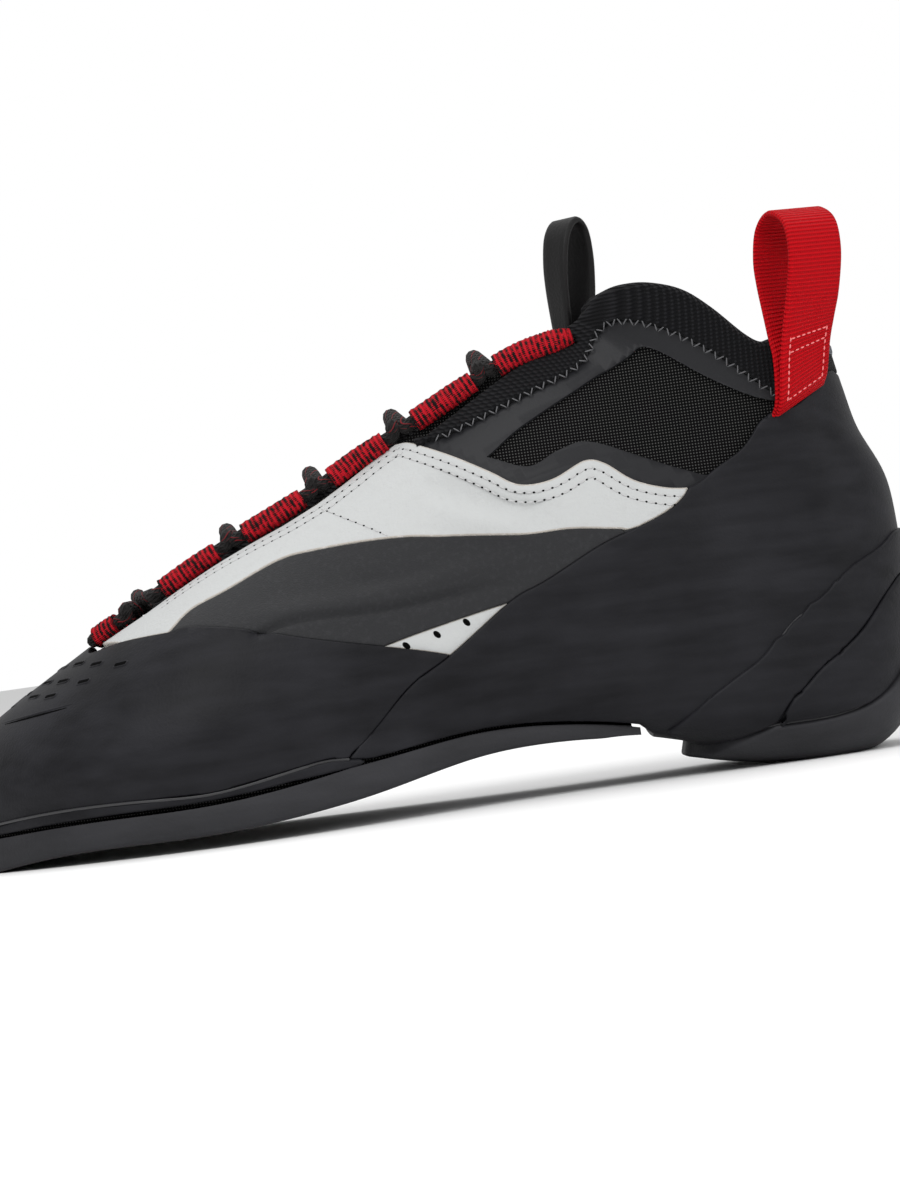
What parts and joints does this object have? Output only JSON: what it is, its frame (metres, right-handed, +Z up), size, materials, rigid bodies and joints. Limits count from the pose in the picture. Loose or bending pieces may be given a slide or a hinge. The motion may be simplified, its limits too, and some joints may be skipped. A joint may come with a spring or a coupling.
{
  "type": "climbing shoe",
  "caption": "Low-cut left climbing shoe standing empty: downturned rubber sole and toe cap, tensioned heel, laced throat, knitted collar, and pull loops.",
  "frame": {"origin": "centre of the heel's flat spot, on the floor", "axes": "toe along -X, +Z up, the outer (little toe) side along -Y"},
  "size_m": [0.2561, 0.0879, 0.1421],
  "materials": {
    "shell_fabric": "matte mesh",
    "knit": "matte knit",
    "foam": "matte",
    "rubber": "matte",
    "sole_rubber": "matte",
    "pale_leather": "smooth matte",
    "microfibre": "fine nap",
    "film": "smooth",
    "red_webbing": "woven",
    "lace": "woven"
  },
  "bodies": {
    "root": {"upper": "shell_fabric", "tongue": "knit", "collar_binding": "knit", "insole": "foam", "rand": "rubber", "toe_rubber": "rubber", "heel_rubber": "rubber", "heel_layer_low": "rubber", "heel_layer_high": "rubber", "outsole": "sole_rubber", "heel_sole": "sole_rubber", "eyestay_outer": "pale_leather", "band_outer": "microfibre", "side_window_outer": "pale_leather", "window_frame_outer": "film", "lace_tunnel_outer_1": "red_webbing", "lace_tunnel_outer_2": "red_webbing", "lace_tunnel_outer_3": "red_webbing", "lace_tunnel_outer_4": "red_webbing", "lace_tunnel_outer_5": "red_webbing", "lace_tunnel_outer_6": "red_webbing", "eyestay_inner": "pale_leather", "band_inner": "microfibre", "side_window_inner": "pale_leather", "window_frame_inner": "film", "lace_tunnel_inner_1": "red_webbing", "lace_tunnel_inner_2": "red_webbing", "lace_tunnel_inner_3": "red_webbing", "lace_tunnel_inner_4": "red_webbing", "lace_tunnel_inner_5": "red_webbing", "lace_tunnel_inner_6": "red_webbing", "lace_toe_bar": "lace", "lace_crossing_1": "lace", "lace_crossing_2": "lace", "lace_crossing_3": "lace", "lace_crossing_4": "lace", "lace_crossing_5": "lace", "tongue_pull_loop": "knit", "heel_pull_loop": "red_webbing"}
  },
  "joints": []
}
